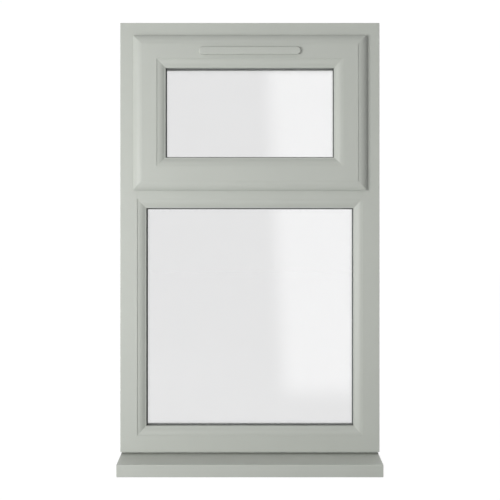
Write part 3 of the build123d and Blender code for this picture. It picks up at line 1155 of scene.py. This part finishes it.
pale = bpy.data.materials.new("pale_floor")
pale.use_nodes = True
pale_nodes, pale_links = pale.node_tree.nodes, pale.node_tree.links
pale_shader = pale_nodes["Principled BSDF"]
pale_shader.inputs["Base Color"].default_value = floor_colour
pale_shader.inputs["Roughness"].default_value = floor_roughness
pale_shader.inputs["Specular IOR Level"].default_value = 0
pale_glow = pale_nodes.new("ShaderNodeEmission")
pale_glow.inputs["Strength"].default_value = floor_glow
pale_share = pale_nodes.new("ShaderNodeMath")
pale_share.operation = "MULTIPLY"
pale_share.inputs[1].default_value = floor_share
pale_mix = pale_nodes.new("ShaderNodeMixShader")
pale_links.new(shown_rays(pale_nodes, pale_links), pale_share.inputs[0])
pale_links.new(pale_share.outputs[0], pale_mix.inputs["Fac"])
pale_links.new(pale_shader.outputs["BSDF"], pale_mix.inputs[1])
pale_links.new(pale_glow.outputs["Emission"], pale_mix.inputs[2])
pale_links.new(pale_mix.outputs["Shader"], pale_nodes["Material Output"].inputs["Surface"])
reach = floor_size / 2
stage_sheet("floor", [(-reach, -reach, 0), (reach, -reach, 0), (reach, reach, 0), (-reach, reach, 0)], pale)

world = bpy.data.worlds.new("white_studio")
world.use_nodes = True
bpy.context.scene.world = world
world_nodes, world_links = world.node_tree.nodes, world.node_tree.links
direction = world_nodes.new("ShaderNodeTexCoord")
axes = world_nodes.new("ShaderNodeSeparateXYZ")
sideways = world_nodes.new("ShaderNodeMapRange")
sideways.inputs["From Min"].default_value = -1
sideways.inputs["To Min"].default_value = left_ambient
sideways.inputs["To Max"].default_value = right_ambient
overhead = world_nodes.new("ShaderNodeMapRange")
overhead.inputs["To Min"].default_value = overhead_gain[0]
overhead.inputs["To Max"].default_value = overhead_gain[1]
raised = world_nodes.new("ShaderNodeMath")
raised.operation = "MULTIPLY"
behind = world_nodes.new("ShaderNodeMapRange")
behind.interpolation_type = "SMOOTHSTEP"
behind.inputs["From Min"].default_value = back_fade[0]
behind.inputs["From Max"].default_value = back_fade[1]
ambient = world_nodes.new("ShaderNodeMix")
ambient.inputs["B"].default_value = back_ambient
strength = world_nodes.new("ShaderNodeMix")
strength.inputs["B"].default_value = backdrop_glow
background = world_nodes["Background"]
background.inputs["Color"].default_value = (1, 1, 1, 1)
world_links.new(direction.outputs["Generated"], axes.inputs[0])
world_links.new(axes.outputs["X"], sideways.inputs["Value"])
world_links.new(axes.outputs["Y"], behind.inputs["Value"])
world_links.new(behind.outputs["Result"], ambient.inputs["Factor"])
world_links.new(axes.outputs["Z"], overhead.inputs["Value"])
world_links.new(sideways.outputs["Result"], raised.inputs[0])
world_links.new(overhead.outputs["Result"], raised.inputs[1])
world_links.new(raised.outputs[0], ambient.inputs["A"])
world_links.new(shown_rays(world_nodes, world_links), strength.inputs["Factor"])
world_links.new(ambient.outputs["Result"], strength.inputs["A"])
world_links.new(strength.outputs["Result"], background.inputs["Strength"])

key_light = bpy.data.lights.new("key_softbox", "AREA")
key_light.shape = "RECTANGLE"
key_light.size = key_width
key_light.size_y = key_height
key_light.energy = key_power
key = bpy.data.objects.new("key_softbox", key_light)
key.location = key_place
key.rotation_euler = (key_target - key_place).to_track_quat("-Z", "Y").to_euler()
bpy.context.scene.collection.objects.link(key)

bright = bpy.data.materials.new("bright_panel")
bright.use_nodes = True
bright_nodes, bright_links = bright.node_tree.nodes, bright.node_tree.links
bright_nodes.remove(bright_nodes["Principled BSDF"])
bright_place = bright_nodes.new("ShaderNodeTexCoord")
bright_axes = bright_nodes.new("ShaderNodeSeparateXYZ")
leaning = bright_nodes.new("ShaderNodeMath")
leaning.operation = "MULTIPLY_ADD"
leaning.inputs[1].default_value = panel_lean
fades = []
for limits in (panel_edge, panel_foot):
    fade = bright_nodes.new("ShaderNodeMapRange")
    fade.interpolation_type = "SMOOTHSTEP"
    fade.inputs["From Min"].default_value = limits[0]
    fade.inputs["From Max"].default_value = limits[1]
    fades.append(fade)
fades[0].inputs["To Max"].default_value = panel_glow
bright_level = bright_nodes.new("ShaderNodeMath")
bright_level.operation = "MULTIPLY"
bright_path = bright_nodes.new("ShaderNodeLightPath")
mirrored = bright_nodes.new("ShaderNodeMath")
mirrored.operation = "MINIMUM"
mirrored.inputs[1].default_value = 1
bright_seen = bright_nodes.new("ShaderNodeMath")
bright_seen.operation = "MULTIPLY"
bright_glow = bright_nodes.new("ShaderNodeEmission")
bright_clear = bright_nodes.new("ShaderNodeBsdfTransparent")
bright_sum = bright_nodes.new("ShaderNodeAddShader")
bright_links.new(bright_place.outputs["Object"], bright_axes.inputs[0])
bright_links.new(bright_axes.outputs["Z"], leaning.inputs[0])
bright_links.new(bright_axes.outputs["X"], leaning.inputs[2])
bright_links.new(leaning.outputs[0], fades[0].inputs["Value"])
bright_links.new(bright_axes.outputs["Z"], fades[1].inputs["Value"])
bright_links.new(fades[0].outputs["Result"], bright_level.inputs[0])
bright_links.new(fades[1].outputs["Result"], bright_level.inputs[1])
bright_links.new(bright_path.outputs["Glossy Depth"], mirrored.inputs[0])
bright_links.new(bright_level.outputs[0], bright_seen.inputs[0])
bright_links.new(mirrored.outputs[0], bright_seen.inputs[1])
bright_links.new(bright_seen.outputs[0], bright_glow.inputs["Strength"])
bright_links.new(bright_glow.outputs["Emission"], bright_sum.inputs[0])
bright_links.new(bright_clear.outputs["BSDF"], bright_sum.inputs[1])
bright_links.new(bright_sum.outputs["Shader"], bright_nodes["Material Output"].inputs["Surface"])
panel_corners = [(0, 0), (panel_right, 0), (panel_right, panel_top), (0, panel_top)]
panel = stage_sheet("bright_panel", [(across, panel_depth, up) for across, up in panel_corners], bright)
panel.visible_camera = False
panel.visible_diffuse = False
panel.visible_shadow = False

camera = bpy.data.objects.new("camera", bpy.data.cameras.new("camera"))
camera.data.lens = camera_lens
camera.data.sensor_width = camera_sensor
camera.location = camera_place
camera.rotation_euler = (math.pi / 2, 0, 0)
bpy.context.scene.collection.objects.link(camera)
bpy.context.scene.camera = camera
bpy.context.scene.view_settings.view_transform = "Standard"
